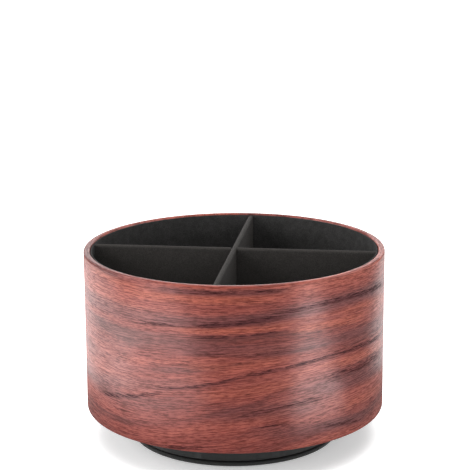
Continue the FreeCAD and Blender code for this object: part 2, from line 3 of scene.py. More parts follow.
import bpy
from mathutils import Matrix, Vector


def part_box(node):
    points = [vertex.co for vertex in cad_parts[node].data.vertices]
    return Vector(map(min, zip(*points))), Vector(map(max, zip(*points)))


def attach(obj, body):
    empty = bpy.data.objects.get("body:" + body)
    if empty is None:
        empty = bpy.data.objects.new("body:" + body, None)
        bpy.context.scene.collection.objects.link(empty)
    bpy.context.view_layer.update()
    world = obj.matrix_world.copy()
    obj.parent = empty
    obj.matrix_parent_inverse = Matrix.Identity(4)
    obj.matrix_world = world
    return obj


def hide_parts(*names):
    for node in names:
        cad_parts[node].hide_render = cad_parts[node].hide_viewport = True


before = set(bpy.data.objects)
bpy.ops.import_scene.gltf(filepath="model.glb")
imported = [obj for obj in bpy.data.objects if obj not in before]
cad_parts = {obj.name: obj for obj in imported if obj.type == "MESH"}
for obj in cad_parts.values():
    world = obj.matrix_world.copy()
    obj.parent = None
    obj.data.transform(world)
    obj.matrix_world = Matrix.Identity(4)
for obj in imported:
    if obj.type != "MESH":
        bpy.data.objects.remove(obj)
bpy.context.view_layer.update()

# A round desk organizer: a tub wrapped in wood-grain leatherette, lined with black velvet and
# crossed by two dividers, on a low black turntable.
# Metres throughout. The origin is on the table, +Z is up and the wrap's seam is at the back.

MM = 0.001
QUARTER_TURN = math.radians(90)
HALF_TURN = math.radians(180)
FULL_TURN = math.radians(360)


# ---- sizes ----

def radius_of(node):
    """How far a CAD node reaches from the vertical axis."""
    return max(vertex.co.xy.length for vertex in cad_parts[node].data.vertices)


LINING_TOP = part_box("wall_lining")[1].z
TUB_RADIUS = radius_of("outer_wrap")
RIM_INNER_RADIUS = min(vertex.co.xy.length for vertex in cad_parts["outer_wrap"].data.vertices
                       if vertex.co.z > LINING_TOP)
LINING_OUTER_RADIUS = radius_of("wall_lining")
LINING_RADIUS = radius_of("floor_lining")       # the lining's inner face
HEM_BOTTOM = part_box("outer_wrap")[0].z
RIM_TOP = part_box("outer_wrap")[1].z
LINING_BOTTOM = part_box("wall_lining")[0].z
FLOOR_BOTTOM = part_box("floor_lining")[0].z
FLOOR_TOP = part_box("floor_lining")[1].z
DIVIDER_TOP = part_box("long_divider_cover")[1].z
DIVIDER_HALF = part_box("long_divider_cover")[1].y
DIVIDER_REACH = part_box("long_divider_cover")[1].x

WRAP_THICKNESS = 0.8 * MM
HEM_WIDTH = 15 * MM                             # turned in under the tub
FOLD_RADIUS = 1.1 * MM                          # at the tub's lower edge and the rim's two edges
TURN_IN = 12 * MM                               # down inside the wall, behind the velvet
SEAM_AZIMUTH = math.radians(95)
SEAM_GAP = 0.08 * MM
LINING_SEAM_AZIMUTH = math.radians(90)
DIVIDER_SKIN = 0.5 * MM
DIVIDER_MIDDLE = (FLOOR_TOP + DIVIDER_TOP) / 2  # each divider is slotted to half its height
SLOT_CLEARANCE = 0.05 * MM
SLOT_HALF = DIVIDER_HALF + SLOT_CLEARANCE
FLOOR_EDGE_ROUND = 0.5 * MM
CUT_EDGE_ROUND = 0.15 * MM                      # the softened cut edge of a sheet
MOULDED_EDGE_ROUND = 0.15 * MM
SHARP_EDGE = math.radians(50)                   # what turns by more than this is softened
FLAT_ENOUGH = math.radians(0.5)                 # what turns by less than this is one face
SAME_PLACE = 0.001 * MM                         # points closer than this are merged
ROUND_STEPS = 240                               # steps round the tub
SIDE_STEPS = 6                                  # steps up the tub's side
BEND_STEPS = 8                                  # steps round a small bend


# ---- modelling helpers ----

def choose(piece):
    """Make a piece the only selected one."""
    bpy.ops.object.select_all(action="DESELECT")
    piece.select_set(True)
    bpy.context.view_layer.objects.active = piece


def start_outline(name, x, y, z):
    """A new piece in edit mode that holds one selected point, to be drawn out."""
    bpy.ops.object.select_all(action="DESELECT")
    bpy.ops.mesh.primitive_plane_add(size=MM, location=(x, y, z))
    piece = bpy.context.object
    piece.name = name
    bpy.ops.object.transform_apply(location=True, rotation=True, scale=True)
    bpy.ops.object.mode_set(mode="EDIT")
    bpy.ops.mesh.select_mode(type="VERT")
    bpy.ops.mesh.merge(type="CENTER")
    return piece


def draw_line(x=0.0, y=0.0, z=0.0):
    """Draw the selected point, or all that is selected, out by a distance."""
    bpy.ops.mesh.extrude_region_move(TRANSFORM_OT_translate={"value": (x, y, z)})


def draw_bend(centre, angle, axis=(0, 1, 0), steps=BEND_STEPS):
    """Sweep the selected point round a centre."""
    bpy.ops.mesh.spin(steps=steps, angle=angle, center=centre, axis=axis)


def spin_outline(angle=FULL_TURN):
    """Turn the whole outline about the vertical axis, and leave edit mode."""
    bpy.ops.mesh.select_all(action="SELECT")
    bpy.ops.mesh.spin(steps=ROUND_STEPS, angle=angle, center=(0, 0, 0), axis=(0, 0, 1))
    close_mesh()


def close_mesh():
    """Merge what lies in the same place, face outwards and leave edit mode."""
    bpy.ops.mesh.select_all(action="SELECT")
    bpy.ops.mesh.remove_doubles(threshold=SAME_PLACE)
    bpy.ops.mesh.normals_make_consistent(inside=False)
    bpy.ops.object.mode_set(mode="OBJECT")


def face_away(piece):
    """Make an open sheet's faces point away from its middle."""
    faces = piece.data.polygons
    middle = sum((face.center for face in faces), Vector()) / len(faces)
    if sum((face.center - middle).dot(face.normal) * face.area for face in faces) < 0:
        choose(piece)
        bpy.ops.object.mode_set(mode="EDIT")
        bpy.ops.mesh.select_all(action="SELECT")
        bpy.ops.mesh.flip_normals()
        bpy.ops.object.mode_set(mode="OBJECT")


def cut_across(point, normal):
    """Divide the whole mesh along a plane."""
    bpy.ops.mesh.select_all(action="SELECT")
    bpy.ops.mesh.bisect(plane_co=point, plane_no=normal)


def select_faces(piece, wanted):
    """Select the faces whose middle and normal pass a test, in edit mode."""
    bpy.ops.mesh.select_mode(type="FACE")
    bpy.ops.mesh.select_all(action="DESELECT")
    bpy.ops.object.mode_set(mode="OBJECT")
    for face in piece.data.polygons:
        face.select = wanted(face.center, face.normal)
    bpy.ops.object.mode_set(mode="EDIT")


def soften_edges(piece, width):
    """Round a piece's sharp edges."""
    use_modifier(piece, "BEVEL", width=width, segments=2, limit_method="ANGLE",
                 angle_limit=SHARP_EDGE, harden_normals=False)


def use_modifier(piece, kind, **settings):
    """Add a modifier and apply it."""
    choose(piece)
    modifier = piece.modifiers.new(kind, kind)
    for name, value in settings.items():
        setattr(modifier, name, value)
    bpy.ops.object.modifier_apply(modifier=modifier.name)


def thicken(piece, thickness, side):
    """Give a sheet its thickness, behind the face that was drawn (side -1) or in front (side 1)."""
    use_modifier(piece, "SOLIDIFY", thickness=thickness, offset=side, use_even_offset=True)


def turn(piece, angle):
    """Turn a piece about the vertical axis, and put the turn in its mesh."""
    choose(piece)
    piece.rotation_euler.z = angle
    bpy.ops.object.transform_apply(location=True, rotation=True, scale=True)


def finish_piece(piece, body, material, nodes, smooth_below=40):
    """Smooth the bends below an angle in degrees, and let the piece stand for its nodes."""
    choose(piece)
    bpy.ops.object.shade_smooth_by_angle(angle=math.radians(smooth_below))
    piece.data.materials.clear()
    piece.data.materials.append(material)
    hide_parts(*nodes)
    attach(piece, body)
    return piece


# ---- shader helpers ----

def add_node(tree, kind, inputs=(), **settings):
    """A shader node with its settings, and its inputs set to values or linked to sockets."""
    made = tree.nodes.new(kind)
    for name, value in settings.items():
        setattr(made, name, value)
    for socket, value in dict(inputs).items():
        if isinstance(value, bpy.types.NodeSocket):
            tree.links.new(value, made.inputs[socket])
        else:
            made.inputs[socket].default_value = value
    return made


def maths(tree, operation, *values):
    """The result of a Math node."""
    return add_node(tree, "ShaderNodeMath", dict(enumerate(values)), operation=operation).outputs[0]


def noise(tree, place, scale, detail=2.0, roughness=0.5):
    """A noise value from 0 to 1."""
    inputs = {"Vector": place, "Scale": scale, "Detail": detail, "Roughness": roughness}
    return add_node(tree, "ShaderNodeTexNoise", inputs).outputs["Fac"]


def remap(tree, value, low, high, to_low=0.0, to_high=1.0):
    """A value eased from one range into another."""
    inputs = {"Value": value, "From Min": low, "From Max": high,
              "To Min": to_low, "To Max": to_high}
    made = add_node(tree, "ShaderNodeMapRange", inputs, interpolation_type="SMOOTHSTEP")
    return made.outputs["Result"]


def blend_colours(tree, factor, first, second, mode="MIX"):
    """One colour laid over another."""
    mixed = add_node(tree, "ShaderNodeMix", data_type="RGBA", blend_type=mode)
    for socket, value in ((0, factor), (6, first), (7, second)):
        if isinstance(value, bpy.types.NodeSocket):
            tree.links.new(value, mixed.inputs[socket])
        else:
            mixed.inputs[socket].default_value = value
    return mixed.outputs[2]


def new_group(name, inputs, outputs):
    """A shader node group with its sockets, and the nodes that stand for them inside it."""
    tree = bpy.data.node_groups.new(name, "ShaderNodeTree")
    for label, kind, value in inputs:
        socket = tree.interface.new_socket(label, in_out="INPUT", socket_type="NodeSocket" + kind)
        if value is not None:
            socket.default_value = value
    for label, kind in outputs:
        tree.interface.new_socket(label, in_out="OUTPUT", socket_type="NodeSocket" + kind)
    return tree, tree.nodes.new("NodeGroupInput").outputs, tree.nodes.new("NodeGroupOutput")


def use_group(tree, group, **inputs):
    """The outputs of a group, with its inputs given by name, underscores for spaces."""
    made = add_node(tree, "ShaderNodeGroup", node_tree=group)
    for name, value in inputs.items():
        socket = made.inputs[name.replace("_", " ")]
        if isinstance(value, bpy.types.NodeSocket):
            tree.links.new(value, socket)
        else:
            socket.default_value = value
    return made.outputs


def new_material(name, **plain):
    """A material with one Principled shader, its plain values set on the shader's own sockets."""
    material = bpy.data.materials.new(name)
    material.use_nodes = True
    tree = material.node_tree
    shader = tree.nodes["Principled BSDF"]
    for socket, value in plain.items():
        shader.inputs[socket.replace("_", " ")].default_value = value
    place = add_node(tree, "ShaderNodeTexCoord").outputs["Object"]
    return material, tree, shader, place


def bump(tree, shader, height, distance, strength):
    """Raise the surface by a height from 0 to 1 times a distance in metres."""
    made = add_node(tree, "ShaderNodeBump",
                    {"Height": height, "Distance": distance, "Strength": strength})
    tree.links.new(made.outputs["Normal"], shader.inputs["Normal"])


# ---- pieces ----

def make_wrap():
    """The leatherette sheet: folded in under the tub, up its side and over the rim."""
    wrap = start_outline("wood_grain_wrap", TUB_RADIUS - HEM_WIDTH, 0, HEM_BOTTOM)
    draw_line(x=HEM_WIDTH - FOLD_RADIUS)
    draw_bend((TUB_RADIUS - FOLD_RADIUS, 0, HEM_BOTTOM + FOLD_RADIUS), QUARTER_TURN)
    for _ in range(SIDE_STEPS):
        draw_line(z=(RIM_TOP - HEM_BOTTOM - 2 * FOLD_RADIUS) / SIDE_STEPS)
    draw_bend((TUB_RADIUS - FOLD_RADIUS, 0, RIM_TOP - FOLD_RADIUS), QUARTER_TURN)
    draw_line(x=RIM_INNER_RADIUS - TUB_RADIUS + 2 * FOLD_RADIUS)
    draw_bend((RIM_INNER_RADIUS + FOLD_RADIUS, 0, RIM_TOP - FOLD_RADIUS), QUARTER_TURN)
    draw_line(z=-TURN_IN)
    spin_outline(FULL_TURN - SEAM_GAP / TUB_RADIUS)
    thicken(wrap, WRAP_THICKNESS, side=-1)
    soften_edges(wrap, CUT_EDGE_ROUND)
    turn(wrap, SEAM_AZIMUTH)
    return wrap


def make_wall_velvet():
    """The velvet inside the wall, from the floor board up to the wrap's turned-in edge."""
    thickness = LINING_OUTER_RADIUS - LINING_RADIUS
    velvet = start_outline("wall_velvet", LINING_OUTER_RADIUS, 0, LINING_BOTTOM)
    for _ in range(SIDE_STEPS):
        draw_line(z=(LINING_TOP - LINING_BOTTOM) / SIDE_STEPS)
    spin_outline(FULL_TURN - SEAM_GAP / LINING_OUTER_RADIUS)
    thicken(velvet, thickness, side=-1)
    soften_edges(velvet, 2 * CUT_EDGE_ROUND)
    turn(velvet, LINING_SEAM_AZIMUTH)
    return velvet


def make_floor_velvet():
    """The padded velvet disc on the floor, rounded where it meets the wall."""
    velvet = start_outline("floor_velvet", 0, 0, FLOOR_BOTTOM)
    draw_line(x=LINING_RADIUS)
    draw_line(z=FLOOR_TOP - FLOOR_BOTTOM - FLOOR_EDGE_ROUND)
    draw_bend((LINING_RADIUS - FLOOR_EDGE_ROUND, 0, FLOOR_TOP - FLOOR_EDGE_ROUND), QUARTER_TURN)
    for _ in range(SIDE_STEPS):
        draw_line(x=-(LINING_RADIUS - FLOOR_EDGE_ROUND) / SIDE_STEPS)
    spin_outline()
    return velvet


def make_divider_velvet(name, angle, slot_side):
    """The velvet over one divider's board, slotted to half its height for the other divider:
    slot_side is 1 where the slot opens at the top, and -1 where it opens at the floor."""
    velvet = start_outline(name, -DIVIDER_REACH, DIVIDER_HALF, FLOOR_TOP)
    draw_line(z=DIVIDER_TOP - DIVIDER_HALF - FLOOR_TOP)
    draw_bend((0, 0, DIVIDER_TOP - DIVIDER_HALF), -HALF_TURN, axis=(1, 0, 0), steps=2 * BEND_STEPS)
    draw_line(z=FLOOR_TOP - DIVIDER_TOP + DIVIDER_HALF)
    bpy.ops.mesh.select_all(action="SELECT")
    draw_line(x=2 * DIVIDER_REACH)
    cut_across((-SLOT_HALF, 0, 0), (1, 0, 0))
    cut_across((SLOT_HALF, 0, 0), (1, 0, 0))
    cut_across((0, 0, DIVIDER_MIDDLE), (0, 0, 1))
    select_faces(velvet, lambda middle, _: abs(middle.x) < SLOT_HALF
                 and (middle.z - DIVIDER_MIDDLE) * slot_side > 0)
    bpy.ops.mesh.delete(type="FACE")
    close_mesh()
    face_away(velvet)
    thicken(velvet, DIVIDER_SKIN, side=-1)
    turn(velvet, angle)
    return velvet


def copy_of(node, name, edge_round=MOULDED_EDGE_ROUND):
    """A rigid part with the CAD node's own shape, its edges slightly rounded."""
    bpy.ops.object.select_all(action="DESELECT")
    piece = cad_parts[node].copy()
    piece.data = piece.data.copy()
    piece.name = name
    bpy.context.collection.objects.link(piece)
    choose(piece)
    piece.parent = None
    bpy.ops.object.mode_set(mode="EDIT")
    close_mesh()
    if edge_round:
        use_modifier(piece, "DECIMATE", decimate_type="DISSOLVE", angle_limit=FLAT_ENOUGH)
        soften_edges(piece, edge_round)
    return piece


# ---- materials ----

GRAINS_IN_A_MOTTLE = 12
PAINTED_TIP_HIGHLIGHT = 1.6                            # how much lighter a pile's tips are painted than its depth: a painted highlight on the tips and painted shade in the depth
CLIMB_REACH = 62 * MM                           # along the sheet, each side of the front
CLIMB_HEIGHT = 27 * MM
CLIMBS_BELOW, LEVEL_ABOVE = 48 * MM, 90 * MM    # heights above the table
SWAY_HEIGHT = 6 * MM
FIBRE_CLIMB = 0.35                              # the share of the bands' climb that fibres take
SHORT_SHARE = 0.6                               # of short fibres, and the rest is long ones
STROKE_STRENGTH = 0.5
FIBRE_LOW, FIBRE_HIGH = 0.40, 0.60              # the fibres' valleys and ridges, as noise values
VALLEY_ROUGH, RIDGE_ROUGH, STREAK_ROUGH = 0.44, 0.27, 0.15
VALLEY_GLOSS, RIDGE_GLOSS, STREAK_GLOSS = 0.12, 0.21, 0.4
ORANGE_FRAY, BAND_FRAY, STREAK_FRAY = 4 * MM, 5 * MM, 3 * MM
RUST_TONES = [                                  # where each colour lies on the tone's range
    (0.36, (0.095, 0.014, 0.010, 1)),
    (0.46, (0.160, 0.025, 0.017, 1)),
    (0.54, (0.202, 0.036, 0.024, 1)),
    (0.64, (0.252, 0.051, 0.032, 1)),
]
ORANGE = (0.265, 0.054, 0.030, 1)
DARK_RED = (0.075, 0.014, 0.015, 1)
STREAK_BLACK = (0.040, 0.007, 0.009, 1)
FIBRE_VALLEY = (0.52, 0.40, 0.36, 1)            # what a fibre's dark side multiplies the colour by
FIBRE_RIDGE = (1.30, 1.40, 1.42, 1)


def build_sheet_place():
    """Where a point is on the cut sheet, in metres: along it from opposite the seam, and across."""
    tree, given, result = new_group(
        "sheet place", [("Place", "Vector", None), ("Radius", "Float", TUB_RADIUS)],
        [("Along", "Float"), ("Across", "Float")])
    turned = add_node(tree, "ShaderNodeMapping",
                      {"Vector": given["Place"], "Rotation": (0, 0, HALF_TURN - SEAM_AZIMUTH)})
    parts = add_node(tree, "ShaderNodeSeparateXYZ", {0: turned.outputs[0]}).outputs
    angle = maths(tree, "ARCTAN2", parts[1], parts[0])
    squared = maths(tree, "ADD", maths(tree, "MULTIPLY", parts[0], parts[0]),
                    maths(tree, "MULTIPLY", parts[1], parts[1]))
    inwards = maths(tree, "SUBTRACT", given["Radius"], maths(tree, "SQRT", squared))
    side = maths(tree, "SIGN", maths(tree, "SUBTRACT", parts[2], (HEM_BOTTOM + RIM_TOP) / 2))
    along = maths(tree, "MULTIPLY", angle, given["Radius"])
    across = maths(tree, "MULTIPLY_ADD", inwards, side, parts[2])
    tree.links.new(along, result.inputs["Along"])
    tree.links.new(across, result.inputs["Across"])
    return tree


def build_grain_mark():
    """A streak or band of the grain that bends from its start to its end, and fades out there."""
    tree, given, result = new_group(
        "grain mark",
        [("Along", "Float", 0), ("Across", "Float", 0), ("Start", "Float", 0), ("End", "Float", 1),
         ("Start Height", "Float", 0), ("Middle Height", "Float", 0), ("End Height", "Float", 0),
         ("Half Width", "Float", MM), ("Strength", "Float", 1)],
        [("Mask", "Float")])
    reach = maths(tree, "SUBTRACT", given["Along"], given["Start"])
    share = maths(tree, "DIVIDE", reach, maths(tree, "SUBTRACT", given["End"], given["Start"]))
    rise = maths(tree, "SUBTRACT", given["Middle Height"], given["Start Height"])
    first = maths(tree, "MULTIPLY_ADD", share, rise, given["Start Height"])
    rise = maths(tree, "SUBTRACT", given["End Height"], given["Middle Height"])
    second = maths(tree, "MULTIPLY_ADD", share, rise, given["Middle Height"])
    middle = maths(tree, "MULTIPLY_ADD", share, maths(tree, "SUBTRACT", second, first), first)
    off = maths(tree, "ABSOLUTE", maths(tree, "SUBTRACT", given["Across"], middle))
    inside = remap(tree, maths(tree, "DIVIDE", off, given["Half Width"]), 0.2, 1, 1, 0)
    starts = remap(tree, share, 0, 0.25)
    ends = remap(tree, share, 0.75, 1, 1, 0)
    mask = maths(tree, "MULTIPLY", maths(tree, "MULTIPLY", inside, starts), ends)
    mask = maths(tree, "MULTIPLY", mask, given["Strength"])
    tree.links.new(mask, result.inputs["Mask"])
    return tree


def build_fine_grain():
    """An even fine grain for moulded and pressed surfaces."""
    tree, given, result = new_group(
        "fine grain", [("Place", "Vector", None), ("Grain Size", "Float", 0.4 * MM)],
        [("Height", "Float"), ("Mottle", "Float")])
    scale = maths(tree, "DIVIDE", 1, given["Grain Size"])
    tree.links.new(noise(tree, given["Place"], scale, detail=3), result.inputs["Height"])
    coarse = maths(tree, "DIVIDE", scale, GRAINS_IN_A_MOTTLE)
    tree.links.new(noise(tree, given["Place"], coarse, detail=4, roughness=0.6),
                   result.inputs["Mottle"])
    return tree


def grain_noise(tree, along, across, per_metre_along, per_metre_across, **settings):
    """Noise on the sheet, drawn out along the grain: how many swings it has in a metre each way."""
    place = add_node(tree, "ShaderNodeCombineXYZ", {
        0: maths(tree, "MULTIPLY", along, per_metre_along),
        1: maths(tree, "MULTIPLY", across, per_metre_across)}).outputs[0]
    return noise(tree, place, 1, **settings)


# What stands out in the grain. Each row has its start and end in degrees round the tub from the
# middle of the front, its heights above the table at the start, middle and end and its half width
# in millimetres, and its strength.
DARK_STREAKS = [
    (-20, 30, 98.6, 99.2, 99.6, 1.6, 0.72),
    (-34, -4, 79.0, 81.8, 81.6, 1.2, 0.84),
    (-12, 30, 81.4, 83.6, 87.4, 2.2, 1.00),
    (-10, 8, 76.4, 76.2, 77.2, 0.9, 1.00),
    (4, 24, 76.8, 77.6, 79.0, 0.9, 0.96),
    (18, 60, 86.5, 91.5, 89.5, 1.8, 0.84),
    (38, 90, 90.5, 90.0, 86.5, 2.0, 0.96),
    (-14, 36, 67.6, 67.4, 68.4, 1.6, 0.54),
    (-56, -14, 35.0, 38.0, 49.0, 1.8, 0.90),
    (-26, 14, 47.6, 49.6, 58.6, 1.3, 1.00),
    (6, 56, 56.2, 61.6, 63.6, 1.5, 1.00),
    (36, 84, 61.6, 63.4, 60.0, 2.0, 0.90),
    (36, 86, 50.4, 52.8, 51.0, 3.4, 0.78),
    (4, 50, 34.0, 43.6, 40.6, 1.9, 0.72),
    (10, 30, 30.4, 31.0, 30.2, 1.1, 0.72),
    (36, 66, 27.0, 25.0, 22.0, 1.7, 0.72),
    (-36, 6, 16.4, 18.4, 20.8, 1.4, 0.60),
]
DARK_BANDS = [
    (-80, 0, 84.0, 85.0, 83.0, 6.0, 0.65),
    (-36, 36, 83.0, 84.0, 88.0, 5.0, 0.78),
    (4, 92, 83.0, 94.0, 86.0, 6.0, 0.78),
    (-30, 34, 99.0, 99.0, 99.5, 3.0, 0.65),
    (-24, 50, 70.0, 71.0, 69.0, 5.0, 0.59),
    (16, 92, 69.0, 73.0, 66.0, 5.0, 0.65),
    (-64, 0, 42.0, 46.0, 55.0, 5.0, 0.45),
    (-8, 46, 36.0, 41.0, 38.0, 7.0, 0.59),
    (26, 92, 45.0, 48.0, 43.0, 6.0, 0.65),
    (6, 78, 28.0, 27.0, 22.0, 5.0, 0.52),
]
ORANGE_BANDS = [
    (-44, 30, 94.6, 95.7, 96.0, 3.6, 0.9),
    (-80, -16, 100.5, 99.0, 97.0, 3.0, 0.7),
    (-20, 34, 79.6, 79.6, 82.6, 2.4, 0.9),
    (24, 66, 79.0, 79.5, 77.0, 3.4, 0.9),
    (-16, 30, 62.0, 61.0, 66.0, 3.6, 0.5),
    (40, 90, 57.0, 58.0, 54.0, 3.4, 0.8),
    (-10, 36, 46.0, 49.0, 54.0, 4.5, 0.5),
    (44, 90, 83.0, 84.0, 79.0, 3.0, 0.7),
    (46, 90, 34.0, 35.0, 31.0, 4.0, 0.6),
]


def dress_in_wood_grain():
    """Satin leatherette printed and pressed with a red-brown wood grain."""
    material, tree, shader, place = new_material(
        "wood grain leatherette", Specular_IOR_Level=0.0, Coat_IOR=2.0, Coat_Roughness=0.32)
    sheet = use_group(tree, SHEET_PLACE, Place=place, Radius=TUB_RADIUS)
    along, across = sheet["Along"], sheet["Across"]

    # the grain runs level at the rim and climbs to the right lower down
    climb = remap(tree, along, -CLIMB_REACH, CLIMB_REACH, 0, CLIMB_HEIGHT)
    lower = remap(tree, across, CLIMBS_BELOW, LEVEL_ABOVE, 1, 0)
    level = maths(tree, "SUBTRACT", across, maths(tree, "MULTIPLY", climb, lower))
    sway = grain_noise(tree, along, across, 14, 30, detail=1)
    level = maths(tree, "MULTIPLY_ADD", sway, SWAY_HEIGHT, level)

    tone = grain_noise(tree, along, level, 6, 75, detail=3)
    ramp = add_node(tree, "ShaderNodeValToRGB", {0: tone})
    while len(ramp.color_ramp.elements) < len(RUST_TONES):
        ramp.color_ramp.elements.new(1)
    for element, (position, colour) in zip(ramp.color_ramp.elements, RUST_TONES):
        element.position, element.color = position, colour

    # fine fibres lie nearly level, whatever the bands do
    rise = maths(tree, "SUBTRACT", level, across)
    eased = maths(tree, "MULTIPLY_ADD", rise, FIBRE_CLIMB, across)
    short = grain_noise(tree, along, eased, 230, 2200, detail=3, roughness=0.7)
    long = grain_noise(tree, along, eased, 60, 1700)
    fibres = maths(tree, "MULTIPLY_ADD", short, SHORT_SHARE,
                   maths(tree, "MULTIPLY", long, 1 - SHORT_SHARE))
    # short dark strokes gather in clusters
    strokes = remap(tree, grain_noise(tree, along, eased, 90, 1100), 0.5, 0.62)
    clusters = remap(tree, grain_noise(tree, along, level, 12, 110), 0.48, 0.64)
    dark = maths(tree, "MULTIPLY", maths(tree, "MULTIPLY", strokes, clusters), STROKE_STRENGTH)

    def gather(marks, fray):
        """The strongest of several marks at each place, their edges frayed along the fibres."""
        lowered = maths(tree, "SUBTRACT", across, fray / 2)
        frayed = maths(tree, "MULTIPLY_ADD", fibres, fray, lowered)
        most = None
        for start, end, low, middle, high, half_width, strength in marks:
            mark = use_group(
                tree, GRAIN_MARK, Along=along, Across=frayed,
                Start=sheet_distance(start), End=sheet_distance(end), Start_Height=low * MM,
                Middle_Height=middle * MM, End_Height=high * MM,
                Half_Width=half_width * MM, Strength=strength)["Mask"]
            most = mark if most is None else maths(tree, "MAXIMUM", most, mark)
        return most

    colour = blend_colours(tree, gather(ORANGE_BANDS, ORANGE_FRAY), ramp.outputs[0], ORANGE)
    colour = blend_colours(tree, gather(DARK_BANDS, BAND_FRAY), colour, DARK_RED)
    dark = maths(tree, "MAXIMUM", dark, gather(DARK_STREAKS, STREAK_FRAY))
    broken = maths(tree, "MULTIPLY", dark, remap(tree, fibres, 0.40, 0.58, 1.3, 0.5))
    colour = blend_colours(tree, broken, colour, STREAK_BLACK)
    lightness = blend_colours(tree, remap(tree, fibres, 0.41, 0.59), FIBRE_VALLEY, FIBRE_RIDGE)
    colour = blend_colours(tree, 1.0, colour, lightness, mode="MULTIPLY")
    tree.links.new(colour, shader.inputs["Base Color"])

    # the fibres' ridges are smoother and glossier, and dark streaks are dull
    rough = remap(tree, fibres, FIBRE_LOW, FIBRE_HIGH, VALLEY_ROUGH, RIDGE_ROUGH)
    rough = maths(tree, "MULTIPLY_ADD", broken, STREAK_ROUGH, rough)
    tree.links.new(rough, shader.inputs["Roughness"])
    gloss = remap(tree, fibres, FIBRE_LOW, FIBRE_HIGH, VALLEY_GLOSS, RIDGE_GLOSS)
    gloss = maths(tree, "MULTIPLY", gloss, remap(tree, broken, 0, 1, 1, STREAK_GLOSS))
    tree.links.new(gloss, shader.inputs["Coat Weight"])
    bump(tree, shader, fibres, 0.08 * MM, 0.9)
    return material


def sheet_distance(degrees_from_front):
    """Degrees round the tub, from the middle of the front, as metres along the wrap's sheet."""
    return (math.radians(degrees_from_front) + math.radians(90) - SEAM_AZIMUTH) * TUB_RADIUS


def dress_in_velvet(name, colour, pile_size, painted_sheen_share):
    """Black velvet, lighter or darker by a given share where its pile lies over, a painted sheen,
    with a painted highlight on its pile tips and painted shade in its depth.
    """
    material, tree, shader, place = new_material(name, Specular_IOR_Level=0.02)
    grain = use_group(tree, FINE_GRAIN, Place=place, Grain_Size=pile_size)
    # painted highlight on the pile tips over painted shade in the pile's depth
    painted_tip_speckle = remap(tree, grain["Height"], 0.35, 0.68)
    # a painted sheen: lighter or darker where the pile lies over
    painted_pile_sheen = remap(tree, grain["Mottle"], 0.3, 0.7, 1 - painted_sheen_share, 1 + painted_sheen_share)
    # the pile tips' colour with their painted highlight
    light = tuple(PAINTED_TIP_HIGHLIGHT * part for part in colour[:3]) + (1,)
    shade = blend_colours(tree, painted_tip_speckle, colour, light)
    grey = add_node(tree, "ShaderNodeCombineColor", {0: painted_pile_sheen, 1: painted_pile_sheen, 2: painted_pile_sheen})
    shade = blend_colours(tree, 1.0, shade, grey.outputs[0], mode="MULTIPLY")
    tree.links.new(shade, shader.inputs["Base Color"])
    tree.links.new(remap(tree, grain["Height"], 0.3, 0.7, 0.95, 0.8), shader.inputs["Roughness"])
    bump(tree, shader, grain["Height"], 0.15 * MM, 0.5)
    return material


def dress_in_moulding(name, dark, light, rough, grain_size, bump_height, **plain):
    """Moulded plastic, rubber, board or metal with a fine grain and a faint mottle."""
    material, tree, shader, place = new_material(name, **plain)
    grain = use_group(tree, FINE_GRAIN, Place=place, Grain_Size=grain_size)
    mottle = remap(tree, grain["Mottle"], 0.35, 0.65)
    tree.links.new(blend_colours(tree, mottle, dark, light), shader.inputs["Base Color"])
    tree.links.new(remap(tree, grain["Mottle"], 0.3, 0.7, rough + 0.03, rough - 0.02),
                   shader.inputs["Roughness"])
    bump(tree, shader, grain["Height"], bump_height, 0.5)
    return material


SHEET_PLACE = build_sheet_place()
GRAIN_MARK = build_grain_mark()
FINE_GRAIN = build_fine_grain()

leatherette = dress_in_wood_grain()
wall_velvet_black = dress_in_velvet("wall velvet", (0.027, 0.0262, 0.0258, 1), 0.4 * MM, 0.14)
divider_velvet_black = dress_in_velvet("divider velvet", (0.0290, 0.0268, 0.0254, 1),
                                       0.3 * MM, 0.05)
moulded_black = dress_in_moulding("moulded plastic", (0.031, 0.0315, 0.031, 1),
                                  (0.0335, 0.034, 0.0335, 1), 0.6, 0.25 * MM, 0.01 * MM,
                                  Specular_IOR_Level=0.2)
rubber = dress_in_moulding("foot rubber", (0.012, 0.012, 0.012, 1), (0.02, 0.02, 0.02, 1), 0.75,
                           0.3 * MM, 0.03 * MM)
steel = dress_in_moulding("plated steel", (0.50, 0.50, 0.49, 1), (0.62, 0.62, 0.61, 1), 0.32,
                          0.4 * MM, 0.01 * MM, Metallic=1.0)
ball_steel = dress_in_moulding("polished steel", (0.66, 0.66, 0.66, 1), (0.72, 0.72, 0.72, 1), 0.12,
                               0.6 * MM, 0.002 * MM, Metallic=1.0)
nylon = dress_in_moulding("cage nylon", (0.62, 0.61, 0.56, 1), (0.70, 0.69, 0.64, 1), 0.45,
                          0.5 * MM, 0.01 * MM)
board = dress_in_moulding("grey board", (0.20, 0.175, 0.145, 1), (0.30, 0.27, 0.23, 1), 0.85,
                          0.6 * MM, 0.08 * MM)
cover_cloth = dress_in_moulding("underside cloth", (0.012, 0.012, 0.013, 1), (0.03, 0.03, 0.032, 1),
                                0.85, 0.5 * MM, 0.12 * MM)


# ---- assembly ----

wrap = finish_piece(make_wrap(), "tub", leatherette, ["outer_wrap"])
wall_velvet = finish_piece(make_wall_velvet(), "tub", wall_velvet_black, ["wall_lining"])
floor_velvet = finish_piece(make_floor_velvet(), "tub", wall_velvet_black,
                            ["floor_lining"])
long_velvet = finish_piece(make_divider_velvet("long_divider_velvet", 0, 1), "tub",
                           divider_velvet_black, ["long_divider_cover"])
cross_velvet = finish_piece(make_divider_velvet("cross_divider_velvet", QUARTER_TURN, -1), "tub",
                            divider_velvet_black, ["cross_divider_cover"])
finish_piece(copy_of("underside_cover", "underside_cloth", 0), "tub",
             cover_cloth, ["underside_cover"])

